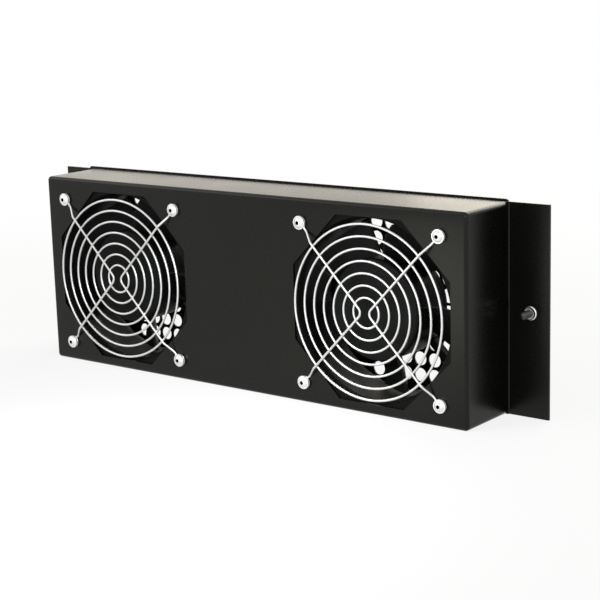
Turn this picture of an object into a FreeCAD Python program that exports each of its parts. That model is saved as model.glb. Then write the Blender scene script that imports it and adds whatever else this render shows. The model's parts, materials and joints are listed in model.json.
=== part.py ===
import FreeCAD, Part
import math
import os

from FreeCAD import Vector

# Twin-fan unit of an equipment cabinet. X is the width, Z is up, and the
# guards face -Y. Depths are first counted from the front face of the panel.

# Sheet and housing
sheet = 1.5
ear_width = 28.5
front_bend = 2.4
corner_bend = 3.0
ear_bend = 1.0
tab_height = 12.0
tab_wide = 40.0
tab_narrow = 8.5
tab_inset = 6.5

# Fan places
fan_gap = 94.0
room_beside = 10.0
room_below = 5.0
room_above = 6.5
room_behind = 3.0
octagon_lap = 0.25
bolt_inset = 7.5

# Rear plate
plate_sheet = 1.0
plate_left = 6.0
plate_right = -1.0
plate_lip = 1.3
plate_corner = 2.0
hole_pitch = 11.0
hole_d = 9.2
hole_shift_x = -1.0
hole_shift_z = -1.5
hole_margin = 2.8

# Fan frame
fan_size = 120.0
fan_corner = 5.5
fan_depth = 38.0
flange = 5.0
barrel_proud = 0.6
inlet_wall = 0.2
throat_wall = 1.8
outlet_wall = 1.1
inlet_depth = 7.0
outlet_depth = 6.0
base_step = 1.0
base_sheet = 3.5
base_rim = 2.0
strut_width = 5.0
strut_depth = 5.0
strut_angles = (75.0, 195.0, 315.0)
boss_width = 18.0
boss_out = 6.0
boss_length = 15.0
boss_sink = 3.0

# Motor
shaft_r = 2.5
run_fit = 0.05
bush_wall = 2.0
tube_wall = 2.5
tube_gap = 0.6
bush_length = 6.0
bush_inset = 5.0
air_gap = 0.5
rotor_sheet = 2.2
rotor_front_gap = 1.0
rotor_back_gap = 2.5
stator_front = 15.0
stator_back_gap = 4.0
stator_slots = 12
slot_width = 3.0
slot_floor = 2.0
coil_room = 3.0
coil_inset = 3.1
coil_end = 3.5
shaft_front = 5.0
shaft_inset = 2.0
clip_wall = 1.3
clip_sheet = 0.8
clip_play = 0.5
cap_lap = 1.5
cap_sheet = 1.0

# Impeller
hub_r = 33.0
hub_wall = 2.2
hub_front = 3.5
hub_sheet = 2.5
hub_round = 2.4
hub_gap = 2.0
hub_boss_wall = 3.5
hub_boss_length = 5.4
blade_count = 5
tip_gap = 1.9
blade_thick = 2.2
blade_root_sink = 9.0
blade_lap = 1.0
blade_middle_out = 7.0
blade_tip_past = 3.7
blade_fronts = (9.5, 5.5, 8.5)
blade_insets = (6.8, 6.2, 6.6)
blade_sweeps = (14.5, 30.0, 35.0)
blade_cambers = (3.5, 3.5, 3.5)
blade_skews = (0.0, 2.5, 0.0)
blade_rest = 58.0

# Wire guard
ring_count = 7
ring_first_r = 9.7
ring_inset = 4.0
ring_wire = 1.6
spoke_wire = 1.6
ring_stand = 3.45
weld_sink = 0.1
apex_offset = 2.0
apex_round = 4.0
eyelet_mean_r = 3.6
leg_flat = 7.5
leg_rise = 16.0
leg_round = 5.0

# Fasteners
m4_r = 2.0
m4_hole_r = 2.25
m4_collar_r = 4.4
m4_collar = 0.7
m4_dome_r = 3.7
m4_head = 2.3
m4_socket = 2.5
m4_socket_depth = 1.6
m4_spare = 1.5
recess_slot = 1.0
recess_depth = 1.2
m4_washer_r = 4.5
m4_washer = 0.8
m4_nut_flats = 7.0
m4_nut = 3.2
m3_r = 1.5
m3_hole_r = 1.7
m3_head_r = 2.8
m3_head = 1.9
m3_length = 8.0
m3_spare = 1.5
m3_nut_flats = 5.5
m3_nut = 2.4
m5_r = 2.5
m5_hole_r = 2.75
m5_head_r = 4.75
m5_head = 3.3
m5_length = 12.0
m5_washer_r = 4.5
m5_washer = 1.0
m5_washer_round = 0.8
m5_neck_r = 1.9
m5_keeper_r = 3.4
m5_keeper = 0.9
thread_fit = 0.05
stud_from_wall = 15.5

# Wiring
block_width = 16.0
block_height = 34.0
block_depth = 14.0
block_round = 2.0
block_poles = 3
pole_pitch = 11.0
pole_screw_r = 2.2
lead_r = 1.0
lead_gap = 6.0
lead_inset = 8.5
lead_round = 5.0
grommet_height = 26.5
grommet_groove_r = 6.0
grommet_flange_r = 8.5
grommet_bore_r = 4.0
grommet_flange = 2.0

octagon_flats = fan_size - 2 * octagon_lap
bolt_square = fan_size - 2 * bolt_inset
fan_spacing = fan_size + fan_gap
box_width = fan_spacing + fan_size + 2 * (room_beside + sheet)
box_height = fan_size + room_below + room_above + 2 * sheet
centre_height = sheet + room_below + fan_size / 2
m4_end = sheet + fan_depth + m4_washer + m4_nut + m4_spare
box_depth = m4_end + room_behind
tab_corner_x = box_width / 2 - tab_inset
hole_zone_r = fan_size / 2 - hole_margin
hole_rows = 2 * int(hole_zone_r / hole_pitch + 0.5)

barrel_r = fan_size / 2 + barrel_proud
inlet_r = fan_size / 2 - inlet_wall
throat_r = fan_size / 2 - throat_wall
outlet_r = fan_size / 2 - outlet_wall
boss_front = fan_depth - boss_length
base_r = hub_r - base_step
bush_r = shaft_r + bush_wall
tube_r = bush_r + tube_wall
hub_back = fan_depth - base_sheet - hub_gap
hub_boss_r = shaft_r + hub_boss_wall
hub_boss_back = hub_front + hub_sheet + hub_boss_length
tube_front = hub_boss_back + tube_gap
bush_back = fan_depth - bush_inset
rotor_out_r = hub_r - hub_wall
rotor_in_r = rotor_out_r - rotor_sheet
rotor_front = hub_front + hub_sheet + rotor_front_gap
rotor_back = hub_back - rotor_back_gap
stator_r = rotor_in_r - air_gap
stator_back = rotor_back - stator_back_gap
coil_in_r = tube_r + coil_room
coil_out_r = stator_r - coil_inset
shaft_back = fan_depth - shaft_inset
clip_r = shaft_r + clip_wall
cap_r = bush_r + cap_lap
blade_tip_r = throat_r - tip_gap
blade_radii = (hub_r - blade_root_sink, hub_r + blade_middle_out, blade_tip_r + blade_tip_past)
blade_backs = tuple(fan_depth - inset for inset in blade_insets)
ring_step = (fan_size / 2 - ring_inset - ring_first_r) / (ring_count - 1)
lead_depth = sheet + fan_depth - lead_inset

back_face = box_depth + sheet
plate_back = back_face + plate_sheet
ring_y = -ring_stand
spoke_y = ring_y - (ring_wire + spoke_wire) / 2 + weld_sink
guard_front = spoke_y - spoke_wire / 2
head_back = back_face + m5_head
middle_y = (guard_front + head_back) / 2
stud_x = box_width / 2 + stud_from_wall
keeper_front = box_depth - m5_washer - m5_keeper
fan_x = {"left": -fan_spacing / 2, "right": fan_spacing / 2}
block_y = back_face - block_depth
pole_y = back_face - block_depth / 2
along_y = Vector(0, 1, 0)
origin = Vector(0, 0, 0)


def box(x0, x1, y0, y1, z0, z1):
    return Part.makeBox(x1 - x0, y1 - y0, z1 - z0, Vector(x0, y0, z0))


def rod(radius, y0, y1, x=0.0, z=0.0):
    return Part.makeCylinder(radius, y1 - y0, Vector(x, y0, z), along_y)


def collar(outer, inner, y0, y1, x=0.0, z=0.0):
    return rod(outer, y0, y1, x, z).cut(rod(inner, y0 - 1, y1 + 1, x, z))


def turned(edges):
    face = Part.Face(Part.Wire(edges))
    return face.revolve(origin, along_y, 360)


def lines(points):
    closed = points + [points[0]]
    return [Part.makeLine(a, b) for a, b in zip(closed[:-1], closed[1:])]


def prism(points, reach):
    return Part.Face(Part.Wire(lines(points))).extrude(reach)


def flats(count, across, y0, y1, x=0.0, z=0.0):
    corner_r = across / 2 / math.cos(math.pi / count)
    points = []
    for i in range(count):
        a = math.pi / count + 2 * math.pi * i / count
        points.append(Vector(x + corner_r * math.cos(a), y0, z + corner_r * math.sin(a)))
    return prism(points, Vector(0, y1 - y0, 0))


def edges_along(shape, axis):
    found = []
    for edge in shape.Edges:
        if isinstance(edge.Curve, Part.Line) and abs(edge.tangentAt(edge.FirstParameter).dot(axis)) > 0.999:
            found.append(edge)
    return found


def edges_at(shape, y):
    return [e for e in shape.Edges if abs(e.BoundBox.YMin - y) < 1e-6 and abs(e.BoundBox.YMax - y) < 1e-6]


def rounded(shape, corner, front=0.0, front_y=0.0):
    shape = shape.makeFillet(corner, edges_along(shape, along_y))
    if front:
        shape = shape.makeFillet(front, edges_at(shape, front_y))
    return shape


def round_path(points, radius):
    edges = []
    start = points[0]
    for before, corner, after in zip(points[:-2], points[1:-1], points[2:]):
        d1 = (before - corner).normalize()
        d2 = (after - corner).normalize()
        half = d1.getAngle(d2) / 2
        reach = radius / math.tan(half)
        middle = (d1 + d2).normalize()
        centre = corner + middle * (radius / math.sin(half))
        t1 = corner + d1 * reach
        t2 = corner + d2 * reach
        edges.append(Part.makeLine(start, t1))
        edges.append(Part.Arc(t1, centre - middle * radius, t2).toShape())
        start = t2
    edges.append(Part.makeLine(start, points[-1]))
    return edges


def wire_along(edges, radius):
    path = Part.Wire(edges)
    first = edges[0]
    start = first.valueAt(first.FirstParameter)
    section = Part.Wire(Part.makeCircle(radius, start, first.tangentAt(first.FirstParameter)))
    return path.makePipeShell([section], True, False)


def bolt_places(x=0.0, z=0.0):
    half = bolt_square / 2
    return [(x + sx * half, z + sz * half) for sx in (-1, 1) for sz in (-1, 1)]


def placed(shape, side):
    moved = shape.copy()
    moved.translate(Vector(fan_x[side], 0, centre_height))
    return moved


# Housing


def ear():
    half = box_width / 2
    cx = half + ear_bend
    cy = box_depth - ear_bend
    slant = math.sqrt(0.5)
    outer_bend = ear_bend + sheet
    a = Vector(half - sheet, cy, 0)
    b = Vector(half, cy, 0)
    c = Vector(cx, box_depth, 0)
    d = Vector(half + ear_width, box_depth, 0)
    e = Vector(half + ear_width, back_face, 0)
    f = Vector(cx, back_face, 0)
    inner_mid = Vector(cx - ear_bend * slant, cy + ear_bend * slant, 0)
    outer_mid = Vector(cx - outer_bend * slant, cy + outer_bend * slant, 0)
    edges = [Part.makeLine(a, b), Part.Arc(b, inner_mid, c).toShape()]
    edges += [Part.makeLine(c, d), Part.makeLine(d, e), Part.makeLine(e, f)]
    edges.append(Part.Arc(f, outer_mid, a).toShape())
    flange_shape = Part.Face(Part.Wire(edges)).extrude(Vector(0, 0, box_height))
    return flange_shape.cut(rod(m5_hole_r, 0, back_face + 1, stud_x, centre_height))


def tab_places():
    places = []
    for x, width in ((0.0, tab_wide), (-tab_corner_x, tab_narrow), (tab_corner_x, tab_narrow)):
        places.append((x, width, sheet, sheet + tab_height))
        places.append((x, width, box_height - sheet - tab_height, box_height - sheet))
    return places


def tab_screw_places():
    return [(x, (z0 + z1) / 2) for x, width, z0, z1 in tab_places()]


def housing():
    half = box_width / 2
    outer = rounded(box(-half, half, 0, back_face, 0, box_height), corner_bend, front_bend, 0.0)
    cavity = box(-half + sheet, half - sheet, sheet, back_face + 5, sheet, box_height - sheet)
    cavity = rounded(cavity, corner_bend - sheet, front_bend - sheet, sheet)
    shell = outer.cut(cavity)
    bend_start = box_depth - ear_bend
    for sign in (-1, 1):
        x0, x1 = sorted((sign * (half - sheet), sign * (half + 1)))
        shell = shell.cut(box(x0, x1, bend_start, back_face + 1, sheet, box_height - sheet))
    right_ear = ear()
    extras = [right_ear, right_ear.mirror(origin, Vector(1, 0, 0))]
    for x, width, z0, z1 in tab_places():
        extras.append(box(x - width / 2, x + width / 2, box_depth, back_face, z0, z1))
    shell = shell.fuse(extras)
    cutters = [rod(m3_r + thread_fit, box_depth - 1, back_face + 1, x, z) for x, z in tab_screw_places()]
    for x in fan_x.values():
        cutters.append(flats(8, octagon_flats, -1, sheet + 1, x, centre_height))
        cutters += [rod(m4_hole_r, -1, sheet + 1, bx, bz) for bx, bz in bolt_places(x, centre_height)]
    return shell.cut(cutters).removeSplitter()


# Perforated rear plate


def perforation_places():
    first = -(hole_rows - 1) / 2 * hole_pitch
    steps = [first + i * hole_pitch for i in range(hole_rows)]
    return [(x, z) for x in steps for z in steps if math.hypot(x, z) <= hole_zone_r]


def ring_wire_at(radius, x, z):
    return Part.Wire(Part.makeCircle(radius, Vector(x, back_face, z), along_y))


def rear_plate():
    half = box_width / 2
    blank = box(-half - plate_left, half + plate_right, back_face, plate_back, 0, box_height + plate_lip)
    blank = blank.makeFillet(plate_corner, edges_along(blank, along_y))
    outline = next(f for f in blank.Faces if f.BoundBox.YMax - back_face < 1e-6).OuterWire
    holes = [ring_wire_at(m3_hole_r, x, z) for x, z in tab_screw_places()]
    holes.append(ring_wire_at(m3_hole_r, 0, block_screw_z()))
    holes.append(ring_wire_at(grommet_groove_r, 0, grommet_height))
    for x in fan_x.values():
        field_x = x + hole_shift_x
        field_z = centre_height + hole_shift_z
        holes += [ring_wire_at(hole_d / 2, field_x + hx, field_z + hz) for hx, hz in perforation_places()]
    face = Part.makeFace([outline] + holes, "Part::FaceMakerBullseye")
    return face.extrude(Vector(0, plate_sheet, 0))


# Fasteners


def cross_recess(x, y0, y1, z, size):
    half = size / 2
    slot = recess_slot / 2
    bar = box(x - half, x + half, y0, y1, z - slot, z + slot)
    return bar.fuse(box(x - slot, x + slot, y0, y1, z - half, z + half))


def pan_head(radius, height):
    rim = height * 0.55
    shoulder = Vector(radius, -rim, 0)
    middle = Vector(radius * 0.72, -height * 0.9, 0)
    crown = Vector(0, -height, 0)
    edges = [Part.makeLine(origin, Vector(radius, 0, 0)), Part.makeLine(Vector(radius, 0, 0), shoulder)]
    edges.append(Part.Arc(shoulder, middle, crown).toShape())
    edges.append(Part.makeLine(crown, origin))
    return turned(edges)


def screw(head_r, head, shank_r, length, recess, x, y, z, forward=False):
    shape = pan_head(head_r, head).fuse(rod(shank_r, 0, length))
    shape = shape.cut(cross_recess(0, -head - 1, -head + recess_depth, 0, recess))
    if forward:
        shape.rotate(origin, Vector(0, 0, 1), 180)
    shape.translate(Vector(x, y, z))
    return shape.removeSplitter()


def nut(across, bore_r, y0, y1, x, z):
    return flats(6, across, y0, y1, x, z).cut(rod(bore_r, y0 - 1, y1 + 1, x, z))


def all_bolt_places():
    places = []
    for x in fan_x.values():
        places += bolt_places(x, centre_height)
    return places


def collared_screw(y, x, z):
    collar_top = Vector(m4_collar_r, -m4_collar, 0)
    dome_foot = Vector(m4_dome_r, -m4_collar, 0)
    dome_side = Vector(m4_dome_r * 0.7, -m4_collar - (m4_head - m4_collar) * 0.72, 0)
    crown = Vector(0, -m4_head, 0)
    foot = Vector(m4_collar_r, 0, 0)
    edges = [Part.makeLine(origin, foot), Part.makeLine(foot, collar_top)]
    edges.append(Part.makeLine(collar_top, dome_foot))
    edges += [Part.Arc(dome_foot, dome_side, crown).toShape(), Part.makeLine(crown, origin)]
    shape = turned(edges).fuse(rod(m4_r, 0, m4_end - y))
    shape = shape.cut(flats(6, m4_socket, -m4_head - 1, -m4_head + m4_socket_depth)).removeSplitter()
    shape.translate(Vector(x, y, z))
    return shape


def guard_screws():
    return [collared_screw(-spoke_wire, x, z) for x, z in all_bolt_places()]


def fan_washers():
    y = sheet + fan_depth
    return [collar(m4_washer_r, m4_hole_r, y, y + m4_washer, x, z) for x, z in all_bolt_places()]


def fan_nuts():
    y = sheet + fan_depth + m4_washer
    return [nut(m4_nut_flats, m4_r + thread_fit, y, y + m4_nut, x, z) for x, z in all_bolt_places()]


def rear_plate_screws():
    size = m3_head_r
    places = tab_screw_places()
    return [screw(m3_head_r, m3_head, m3_r, m3_length, size, x, plate_back, z, True) for x, z in places]


def mounting_screws():
    shapes = []
    for x in (-stud_x, stud_x):
        whole = screw(m5_head_r, m5_head, m5_r, m5_length, m5_head_r, x, back_face, centre_height, True)
        neck = collar(m5_r + 1, m5_neck_r, keeper_front, back_face, x, centre_height)
        shapes.append(whole.cut(neck))
    return shapes


def mounting_washers():
    y = box_depth - m5_washer
    shapes = []
    for x in (-stud_x, stud_x):
        disc = rod(m5_washer_r, y, box_depth, x, centre_height)
        disc = disc.makeFillet(m5_washer_round, edges_at(disc, y))
        shapes.append(disc.cut(rod(m5_hole_r, y - 1, box_depth + 1, x, centre_height)))
    return shapes


def keeper_rings():
    inner = m5_neck_r + thread_fit
    back = keeper_front + m5_keeper
    return [collar(m5_keeper_r, inner, keeper_front, back, x, centre_height) for x in (-stud_x, stud_x)]


# Wire guard


def guard_leg(sx, sz):
    apex = Vector(sx * apex_offset, spoke_y, 0)
    eye = Vector(sx * bolt_square / 2, spoke_y, sz * bolt_square / 2)
    inward = (apex - eye).normalize()
    drop = Vector(0, -spoke_wire / 2 - spoke_y, 0)
    points = [eye + inward * eyelet_mean_r + drop, eye + inward * leg_flat + drop]
    points.append(eye + inward * leg_rise)
    return points, apex


def guard_rings():
    radii = [ring_first_r + i * ring_step for i in range(ring_count)]
    return [Part.makeTorus(r, ring_wire / 2, Vector(0, ring_y, 0), along_y) for r in radii]


def guard_spokes():
    spokes = []
    for sx in (-1, 1):
        eyelets = []
        for sz in (-1, 1):
            middle = Vector(sx * bolt_square / 2, -spoke_wire / 2, sz * bolt_square / 2)
            eyelets.append(Part.makeTorus(eyelet_mean_r, spoke_wire / 2, middle, along_y))
        upper, apex = guard_leg(sx, 1)
        lower, apex = guard_leg(sx, -1)
        to_apex = round_path(upper + [apex], leg_round)
        from_apex = round_path([apex] + lower[::-1], leg_round)
        bend = round_path([upper[-1], apex, lower[-1]], apex_round)
        knee_up = to_apex[-1].valueAt(to_apex[-1].FirstParameter)
        knee_low = from_apex[0].valueAt(from_apex[0].LastParameter)
        bend_up = bend[1].valueAt(bend[1].FirstParameter)
        bend_low = bend[1].valueAt(bend[1].LastParameter)
        path = to_apex[:-1] + [Part.makeLine(knee_up, bend_up), bend[1]]
        path += [Part.makeLine(bend_low, knee_low)] + from_apex[1:]
        spokes.append(wire_along(path, spoke_wire / 2).fuse(eyelets))
    return spokes


# Fan, with its front face on the back of the panel


def fan_bore():
    end = fan_depth + 1
    slant = 0.3
    inlet_mid = Vector(throat_r + (inlet_r - throat_r) * slant, inlet_depth * slant, 0)
    outlet_mid = Vector(throat_r + (outlet_r - throat_r) * slant, fan_depth - outlet_depth * slant, 0)
    p0 = Vector(0, -1, 0)
    p1 = Vector(inlet_r, -1, 0)
    p2 = Vector(inlet_r, 0, 0)
    p3 = Vector(throat_r, inlet_depth, 0)
    p4 = Vector(throat_r, fan_depth - outlet_depth, 0)
    p5 = Vector(outlet_r, fan_depth, 0)
    p6 = Vector(outlet_r, end, 0)
    p7 = Vector(0, end, 0)
    edges = [Part.makeLine(p0, p1), Part.makeLine(p1, p2), Part.Arc(p2, inlet_mid, p3).toShape()]
    edges += [Part.makeLine(p3, p4), Part.Arc(p4, outlet_mid, p5).toShape()]
    edges += [Part.makeLine(p5, p6), Part.makeLine(p6, p7), Part.makeLine(p7, p0)]
    return turned(edges)


def fan_frame(toward):
    half = fan_size / 2
    back = fan_depth - flange
    front_plate = rounded(box(-half, half, 0, flange, -half, half), fan_corner)
    rear_flange = rounded(box(-half, half, back, fan_depth, -half, half), fan_corner)
    barrel = rod(barrel_r, 1, fan_depth - 1).common(box(-half, half, 0, fan_depth, -half, half))
    x0, x1 = sorted((toward * (half - boss_sink), toward * (half + boss_out)))
    boss = box(x0, x1, boss_front, fan_depth, -boss_width / 2, boss_width / 2)
    body = front_plate.fuse([rear_flange, barrel, boss]).cut(fan_bore())
    spider = [rod(base_r, fan_depth - base_sheet, fan_depth), rod(tube_r, tube_front, fan_depth - 1)]
    reach = (throat_r + half) / 2
    for angle in strut_angles:
        strut = box(0, reach, fan_depth - strut_depth, fan_depth, -strut_width / 2, strut_width / 2)
        strut.rotate(origin, along_y, -angle)
        spider.append(strut)
    cap_seat = fan_depth - cap_sheet
    hollow = [rod(bush_r, tube_front - 1, cap_seat), rod(cap_r, cap_seat, fan_depth + 1)]
    hollow.append(collar(base_r - base_rim, tube_r, fan_depth - strut_depth - 1, fan_depth - base_sheet))
    hollow += [rod(m4_hole_r, -1, fan_depth + 1, x, z) for x, z in bolt_places()]
    shape = body.fuse(spider).cut(hollow).removeSplitter()
    shape.translate(Vector(0, sheet, 0))
    return shape


def bushes():
    first = collar(bush_r, shaft_r + run_fit, tube_front, tube_front + bush_length)
    return [first, collar(bush_r, shaft_r + run_fit, bush_back - bush_length, bush_back)]


def stator_core():
    shape = collar(stator_r, tube_r, stator_front, stator_back)
    slots = []
    inner = coil_in_r + slot_floor
    half = slot_width / 2
    for i in range(stator_slots):
        slot = box(inner, stator_r + 1, stator_front - 1, stator_back + 1, -half, half)
        slot.rotate(origin, along_y, 360.0 * i / stator_slots)
        slots.append(slot)
    return shape.cut(slots)


def coils():
    front = collar(coil_out_r, coil_in_r, stator_front - coil_end, stator_front)
    return [front, collar(coil_out_r, coil_in_r, stator_back, stator_back + coil_end)]


def shaft_clip():
    y = bush_back + clip_play
    return collar(clip_r, shaft_r, y, y + clip_sheet)


def blade_section(radius, front, back, sweep, camber, skew):
    chord_y = back - front
    length = math.hypot(chord_y, sweep)
    along = Vector(0, chord_y / length, -sweep / length)
    across = Vector(0, sweep / length, chord_y / length)
    middle = Vector(radius, (front + back) / 2, skew)
    half = length / 2 - blade_thick / 2
    edge = blade_thick * 0.35
    nose = middle - along * half
    tail = middle + along * half
    crest = middle + across * (camber + blade_thick / 2)
    hollow = middle + across * (camber - blade_thick / 2)
    arc_up = Part.Arc(nose + across * edge, crest, tail + across * edge)
    arc_end = Part.Arc(tail + across * edge, tail + along * edge, tail - across * edge)
    arc_low = Part.Arc(tail - across * edge, hollow, nose - across * edge)
    arc_nose = Part.Arc(nose - across * edge, nose - along * edge, nose + across * edge)
    return Part.Wire([arc.toShape() for arc in (arc_up, arc_end, arc_low, arc_nose)])


def blade():
    rows = zip(blade_radii, blade_fronts, blade_backs, blade_sweeps, blade_cambers, blade_skews)
    loft = Part.makeLoft([blade_section(*row) for row in rows], True, False)
    keep = collar(blade_tip_r, hub_r - blade_lap, 0, fan_depth)
    return loft.common(keep)


def impeller():
    cup = rod(hub_r, hub_front, hub_back)
    cup = cup.makeFillet(hub_round, edges_at(cup, hub_front))
    cup = cup.cut(rod(rotor_out_r, hub_front + hub_sheet, hub_back + 1))
    cup = cup.fuse(rod(hub_boss_r, hub_front + hub_sheet - 1, hub_boss_back))
    cup = cup.cut(rod(shaft_r, shaft_front, hub_boss_back + 1))
    one = blade()
    blades = []
    for i in range(blade_count):
        turn = one.copy()
        turn.rotate(origin, along_y, -360.0 * i / blade_count)
        blades.append(turn)
    return cup.fuse(blades).removeSplitter()


# Wiring


def block_screw_z():
    return centre_height + pole_pitch / 2


def terminal_block():
    z0 = centre_height - block_height / 2
    body = box(-block_width / 2, block_width / 2, block_y, back_face, z0, z0 + block_height)
    front_edges = [e for e in edges_along(body, Vector(0, 0, 1)) if e.BoundBox.YMax < block_y + 1]
    body = body.makeFillet(block_round, front_edges)
    cutters = [rod(m3_hole_r, block_y - 1, back_face + 1, 0, block_screw_z())]
    first = centre_height - (block_poles - 1) / 2 * pole_pitch
    for i in range(block_poles):
        z = first + i * pole_pitch
        for sign in (-1, 1):
            x = sign * block_width / 4
            cutters.append(rod(pole_screw_r, block_y - 1, block_y + block_depth / 2, x, z))
    return body.cut(cutters)


def block_screw():
    length = block_depth + plate_sheet + m3_nut + m3_spare
    return screw(m3_head_r, m3_head, m3_r, length, m3_head_r, 0, plate_back, block_screw_z(), True)


def block_nut():
    return nut(m3_nut_flats, m3_r + thread_fit, block_y - m3_nut, block_y, 0, block_screw_z())


def leads(toward):
    start_x = toward * (fan_spacing / 2 - fan_size / 2 - boss_out)
    end_x = toward * block_width / 2
    span = start_x - end_x
    shapes = []
    for i in range(2):
        start_z = centre_height + (i - 0.5) * lead_gap
        end_z = centre_height + i * pole_pitch
        points = [Vector(start_x, lead_depth, start_z), Vector(start_x - span * 0.3, lead_depth, start_z)]
        points += [Vector(end_x + span * 0.3, pole_y, end_z), Vector(end_x, pole_y, end_z)]
        shapes.append(wire_along(round_path(points, lead_round), lead_r))
    return shapes


def grommet():
    front = back_face - grommet_flange
    back = plate_back + grommet_flange
    tube = collar(grommet_flange_r, grommet_bore_r, front, back, 0, grommet_height)
    groove = collar(grommet_flange_r + 1, grommet_groove_r, back_face, plate_back, 0, grommet_height)
    return tube.cut(groove)


# Every piece goes to its own file, with depth counted from the middle


def save(name, shape):
    whole = Part.makeCompound(shape) if isinstance(shape, list) else shape.copy()
    whole.translate(Vector(0, -middle_y, 0))
    whole.exportStep("parts/" + name + ".step")


def save_fan(side, impeller_shape, ring_shapes, spoke_shapes):
    toward = 1 if side == "left" else -1
    save("fan_frame_" + side, placed(fan_frame(toward), side))
    save("guard_rings_" + side, [placed(ring, side) for ring in ring_shapes])
    save("guard_spokes_" + side, [placed(spoke, side) for spoke in spoke_shapes])
    seat = Vector(0, sheet, 0)
    wheel = impeller_shape.copy()
    wheel.rotate(origin, along_y, -blade_rest)
    motor = {
        "impeller_": [wheel],
        "rotor_ring_": [collar(rotor_out_r, rotor_in_r, rotor_front, rotor_back)],
        "shaft_": [rod(shaft_r, shaft_front, shaft_back)],
        "shaft_clip_": [shaft_clip()],
        "stator_core_": [stator_core()],
        "stator_coils_": coils(),
        "bushes_": bushes(),
        "bearing_cap_": [rod(cap_r, fan_depth - cap_sheet, fan_depth)],
    }
    for name, shapes in motor.items():
        for shape in shapes:
            shape.translate(seat)
        save(name + side, [placed(shape, side) for shape in shapes])
    save("fan_leads_" + side, leads(-toward))


os.makedirs("parts", exist_ok=True)
save("housing", housing())
save("rear_plate", rear_plate())
save("rear_plate_screws", rear_plate_screws())
save("guard_screws", guard_screws())
save("fan_washers", fan_washers())
save("fan_nuts", fan_nuts())
save("mounting_screws", mounting_screws())
save("mounting_washers", mounting_washers())
save("keeper_rings", keeper_rings())
save("terminal_block", terminal_block())
save("terminal_block_screw", block_screw())
save("terminal_block_nut", block_nut())
save("cable_grommet", grommet())
wheel_shape = impeller()
rings = guard_rings()
spokes_pair = guard_spokes()
for fan_side in ("left", "right"):
    save_fan(fan_side, wheel_shape, rings, spokes_pair)
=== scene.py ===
"""Dresses the twin-fan cabinet unit and sets up the studio in which it is seen."""

from __future__ import annotations

import json
import logging
import math
from dataclasses import dataclass
from enum import Enum
from typing import Any, Callable, Iterable, Sequence

import bmesh
import bpy
from mathutils import Matrix, Vector
from mathutils.geometry import interpolate_bezier

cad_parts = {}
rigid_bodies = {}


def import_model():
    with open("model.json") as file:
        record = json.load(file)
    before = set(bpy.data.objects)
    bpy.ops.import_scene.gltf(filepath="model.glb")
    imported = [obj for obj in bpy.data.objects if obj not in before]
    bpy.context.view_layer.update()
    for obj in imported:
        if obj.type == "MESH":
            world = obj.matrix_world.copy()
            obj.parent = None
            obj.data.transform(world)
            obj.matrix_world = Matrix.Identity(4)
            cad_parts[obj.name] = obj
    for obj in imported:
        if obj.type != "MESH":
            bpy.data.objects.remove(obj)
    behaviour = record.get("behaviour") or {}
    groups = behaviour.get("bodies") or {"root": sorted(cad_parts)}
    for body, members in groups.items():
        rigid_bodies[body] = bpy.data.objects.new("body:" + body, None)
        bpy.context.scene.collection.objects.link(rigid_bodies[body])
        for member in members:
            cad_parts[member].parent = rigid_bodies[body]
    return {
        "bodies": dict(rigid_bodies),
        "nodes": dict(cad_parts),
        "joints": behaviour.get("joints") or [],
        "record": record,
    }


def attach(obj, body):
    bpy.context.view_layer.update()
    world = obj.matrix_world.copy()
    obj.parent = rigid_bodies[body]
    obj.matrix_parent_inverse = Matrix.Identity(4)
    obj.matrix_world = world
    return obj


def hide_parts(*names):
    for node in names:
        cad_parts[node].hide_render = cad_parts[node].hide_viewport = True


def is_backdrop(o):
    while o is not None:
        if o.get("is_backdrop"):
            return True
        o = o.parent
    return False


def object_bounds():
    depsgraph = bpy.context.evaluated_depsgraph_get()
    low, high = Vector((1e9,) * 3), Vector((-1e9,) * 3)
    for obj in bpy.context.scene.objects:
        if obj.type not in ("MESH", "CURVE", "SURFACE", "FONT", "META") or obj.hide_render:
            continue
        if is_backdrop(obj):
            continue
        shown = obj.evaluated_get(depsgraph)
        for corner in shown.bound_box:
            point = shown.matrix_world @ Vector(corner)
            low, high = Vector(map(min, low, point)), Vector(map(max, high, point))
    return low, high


LOG = logging.getLogger("rack_fan_unit")
MM = 0.001
SAME_POINT = 0.000002
ALL_SMOOTH = 180.0
SCREW_ANGLE = 34.0
EDGE_SEGMENTS = 2
WHITE = (1.0, 1.0, 1.0, 1.0)

Frame = dict[str, Any]
Triple = tuple[float, float, float]
Points = list[Vector]
Faces = list[list[int]]
MeshData = tuple[Points, Faces]


class Side(Enum):
    """The two fans, with the sign of their place along X."""

    LEFT = -1
    RIGHT = 1

    @property
    def label(self) -> str:
        """The side's part of a node name."""
        return self.name.lower()


class Grain(Enum):
    """The patterns that a finish can have."""

    PEEL = "peel"
    CAST = "cast"
    PLATED = "plated"
    LAMINATED = "laminated"
    WOUND = "wound"


# Places


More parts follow.
